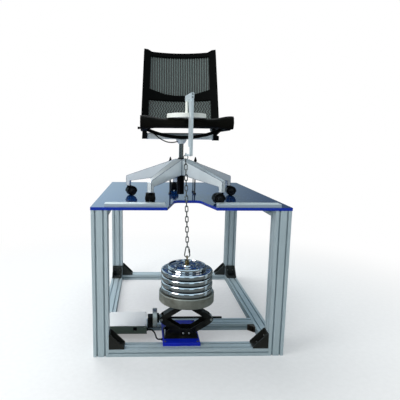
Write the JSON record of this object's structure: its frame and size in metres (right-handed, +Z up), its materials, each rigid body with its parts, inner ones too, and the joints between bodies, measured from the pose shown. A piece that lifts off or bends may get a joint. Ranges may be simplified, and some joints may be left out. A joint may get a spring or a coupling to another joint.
{
  "type": "chair stability tester",
  "caption": "Slotted aluminium frame with a blue notched table, holding an office chair loaded through a disc, chain and hanging weights above a motor-driven scissor jack.",
  "frame": {"origin": "on the floor, under the centre of the frame's rectangle", "axes": "+X to the right, +Y to the back, +Z up, seen from the side with the table's notch"},
  "size_m": [1, 1.28, 1.6744],
  "materials": {
    "aluminium_profile": "brushed, anodised",
    "polished_aluminium": "polished",
    "blue_gloss": "gloss blue",
    "blue_paint": "satin blue",
    "black_metal": "satin black",
    "black_steel": "oiled black",
    "chrome": "polished",
    "bare_steel": "turned",
    "zinc_steel": "zinc plated",
    "brass": "dull",
    "white_paint": "satin white",
    "white_plastic": "matt",
    "black_plastic": "matt",
    "black_rubber": "matt",
    "seat_fabric": "woven black",
    "back_mesh": "open mesh"
  },
  "bodies": {
    "frame": {"table_top": "blue_gloss", "stop_strips": "aluminium_profile", "posts_front": "aluminium_profile", "posts_rear": "aluminium_profile", "bottom_rail_front": "aluminium_profile", "bottom_rail_rear": "aluminium_profile", "bottom_rail_left": "aluminium_profile", "bottom_rail_right": "aluminium_profile", "corner_brackets_front": "black_metal", "corner_brackets_rear": "black_metal", "cross_rail": "aluminium_profile", "cross_brackets": "bare_steel", "top_rails": "aluminium_profile", "jack_base_plate": "blue_paint", "jack_foot": "black_steel", "control_box": "white_paint", "control_fittings": "black_plastic", "control_lead": "black_rubber", "clamp_rods": "black_steel", "clamp_bar": "zinc_steel", "star_base": "polished_aluminium", "column_tube": "black_plastic"},
    "gas_lift": {"gas_tube": "chrome"},
    "seat": {"seat_housing": "polished_aluminium", "seat_cushion": "seat_fabric", "seat_frame": "black_plastic", "seat_beam": "polished_aluminium", "seat_cable": "black_rubber", "load_disc": "white_plastic", "load_plate": "polished_aluminium", "load_chain": "zinc_steel", "snap_hook": "zinc_steel", "hanger": "brass"},
    "weights": {"weight_base": "bare_steel", "weight_discs": "chrome", "weight_top": "chrome"},
    "backrest": {"back_frame": "black_plastic", "back_mesh": "back_mesh"},
    "clamp_knob_left": {"clamp_knob_left": "black_plastic"},
    "clamp_knob_right": {"clamp_knob_right": "black_plastic"},
    "jack_lower_left": {"jack_lower_arm_left": "black_steel"},
    "jack_lower_right": {"jack_lower_arm_right": "black_steel"},
    "jack_upper_left": {"jack_upper_arm_left": "black_steel"},
    "jack_upper_right": {"jack_upper_arm_right": "black_steel"},
    "jack_saddle": {"jack_saddle": "black_steel"},
    "trunnion_left": {"jack_trunnion_left": "zinc_steel", "drive_motor": "black_plastic"},
    "trunnion_right": {"jack_trunnion_right": "zinc_steel"},
    "screw": {"jack_screw": "black_steel", "drive_disc": "zinc_steel"},
    "caster_rear": {"caster_fork_rear": "black_plastic"},
    "wheels_rear": {"caster_wheels_rear": "black_plastic"},
    "caster_left": {"caster_fork_left": "black_plastic"},
    "wheels_left": {"caster_wheels_left": "black_plastic"},
    "caster_front_left": {"caster_fork_front_left": "black_plastic"},
    "wheels_front_left": {"caster_wheels_front_left": "black_plastic"},
    "caster_front_right": {"caster_fork_front_right": "black_plastic"},
    "wheels_front_right": {"caster_wheels_front_right": "black_plastic"},
    "caster_right": {"caster_fork_right": "black_plastic"},
    "wheels_right": {"caster_wheels_right": "black_plastic"}
  },
  "joints": [
    {"name": "swivel_rear", "type": "hinge", "parent": "frame", "child": "caster_rear", "pos_m": [-0.0391, 0.05581, 0.855], "axis": [0, 0, 1], "continuous": true},
    {"name": "roll_rear", "type": "hinge", "parent": "caster_rear", "child": "wheels_rear", "pos_m": [-0.04222, 0.07353, 0.8172], "axis": [-0.9848, -0.1736, 0], "continuous": true},
    {"name": "swivel_left", "type": "hinge", "parent": "frame", "child": "caster_left", "pos_m": [-0.33368, -0.17435, 0.855], "axis": [0, 0, 1], "continuous": true},
    {"name": "roll_left", "type": "hinge", "parent": "caster_left", "child": "wheels_left", "pos_m": [-0.31677, -0.16819, 0.8172], "axis": [-0.342, 0.9397, 0], "continuous": true},
    {"name": "swivel_front_left", "type": "hinge", "parent": "frame", "child": "caster_front_left", "pos_m": [-0.20582, -0.52563, 0.855], "axis": [0, 0, 1], "range_deg": [-40, 40]},
    {"name": "roll_front_left", "type": "hinge", "parent": "caster_front_left", "child": "wheels_front_left", "pos_m": [-0.20582, -0.50763, 0.8172], "axis": [-1, 0, 0], "continuous": true},
    {"name": "swivel_front_right", "type": "hinge", "parent": "frame", "child": "caster_front_right", "pos_m": [0.16778, -0.51259, 0.855], "axis": [0, 0, 1], "range_deg": [-60, 10]},
    {"name": "roll_front_right", "type": "hinge", "parent": "caster_front_right", "child": "wheels_front_right", "pos_m": [0.15005, -0.51571, 0.8172], "axis": [0.1736, -0.9848, 0], "continuous": true},
    {"name": "swivel_right", "type": "hinge", "parent": "frame", "child": "caster_right", "pos_m": [0.27082, -0.15324, 0.855], "axis": [0, 0, 1], "continuous": true},
    {"name": "roll_right", "type": "hinge", "parent": "caster_right", "child": "wheels_right", "pos_m": [0.28882, -0.15324, 0.8172], "axis": [0, 1, 0], "continuous": true},
    {"name": "seat_height", "type": "slide", "parent": "frame", "child": "gas_lift", "axis": [0, 0, 1], "range_m": [0, 0.04]},
    {"name": "seat_swivel", "type": "hinge", "parent": "gas_lift", "child": "seat", "pos_m": [-0.028, -0.262, 1.099], "axis": [0, 0, 1], "range_deg": [-8, 8]},
    {"name": "back_recline", "type": "hinge", "parent": "seat", "child": "backrest", "pos_m": [-0.022, -0.062, 1.188], "axis": [-1, 0, 0], "range_deg": [0, 12], "stiffness_Nm_per_rad": 60, "springref_deg": -8.59},
    {"name": "weights_spin", "type": "hinge", "parent": "seat", "child": "weights", "pos_m": [-0.005, -0.49, 0.256], "axis": [0, 0, 1], "continuous": true},
    {"name": "clamp_screw_left", "type": "hinge", "parent": "frame", "child": "clamp_knob_left", "pos_m": [-0.08, -0.105, 0.9857], "axis": [0, 0, 1], "continuous": true},
    {"name": "clamp_screw_right", "type": "hinge", "parent": "frame", "child": "clamp_knob_right", "pos_m": [0.074, -0.105, 0.9857], "axis": [0, 0, 1], "continuous": true},
    {"name": "jack_lowering", "type": "hinge", "parent": "frame", "child": "jack_lower_left", "pos_m": [-0.021, -0.49, 0.072], "axis": [0, -1, 0], "range_deg": [0, 11]},
    {"name": "jack_lower_arm_right", "type": "hinge", "parent": "frame", "child": "jack_lower_right", "pos_m": [0.011, -0.49, 0.072], "axis": [0, -1, 0], "range_deg": [-11, 0]},
    {"name": "jack_upper_arm_left", "type": "hinge", "parent": "jack_lower_left", "child": "jack_upper_left", "pos_m": [-0.1415, -0.49, 0.149], "axis": [0, -1, 0], "range_deg": [-22, 0]},
    {"name": "jack_upper_arm_right", "type": "hinge", "parent": "jack_lower_right", "child": "jack_upper_right", "pos_m": [0.1315, -0.49, 0.149], "axis": [0, -1, 0], "range_deg": [0, 22]},
    {"name": "jack_saddle_level", "type": "hinge", "parent": "jack_upper_left", "child": "jack_saddle", "pos_m": [-0.021, -0.49, 0.226], "axis": [0, -1, 0], "range_deg": [0, 11]},
    {"name": "trunnion_level_left", "type": "hinge", "parent": "jack_lower_left", "child": "trunnion_left", "pos_m": [-0.1415, -0.49, 0.149], "axis": [0, -1, 0], "range_deg": [-11, 0]},
    {"name": "trunnion_level_right", "type": "hinge", "parent": "jack_lower_right", "child": "trunnion_right", "pos_m": [0.1315, -0.49, 0.149], "axis": [0, -1, 0], "range_deg": [0, 11]},
    {"name": "screw_spin", "type": "hinge", "parent": "trunnion_left", "child": "screw", "pos_m": [-0.1415, -0.49, 0.149], "axis": [1, 0, 0], "continuous": true}
  ],
  "couplings": [
    {"joint": "jack_lower_arm_right", "follows": "jack_lowering", "ratio": -1},
    {"joint": "jack_upper_arm_left", "follows": "jack_lowering", "ratio": -2},
    {"joint": "jack_upper_arm_right", "follows": "jack_lowering", "ratio": 2},
    {"joint": "jack_saddle_level", "follows": "jack_lowering", "ratio": 1},
    {"joint": "trunnion_level_left", "follows": "jack_lowering", "ratio": -1},
    {"joint": "trunnion_level_right", "follows": "jack_lowering", "ratio": 1}
  ]
}
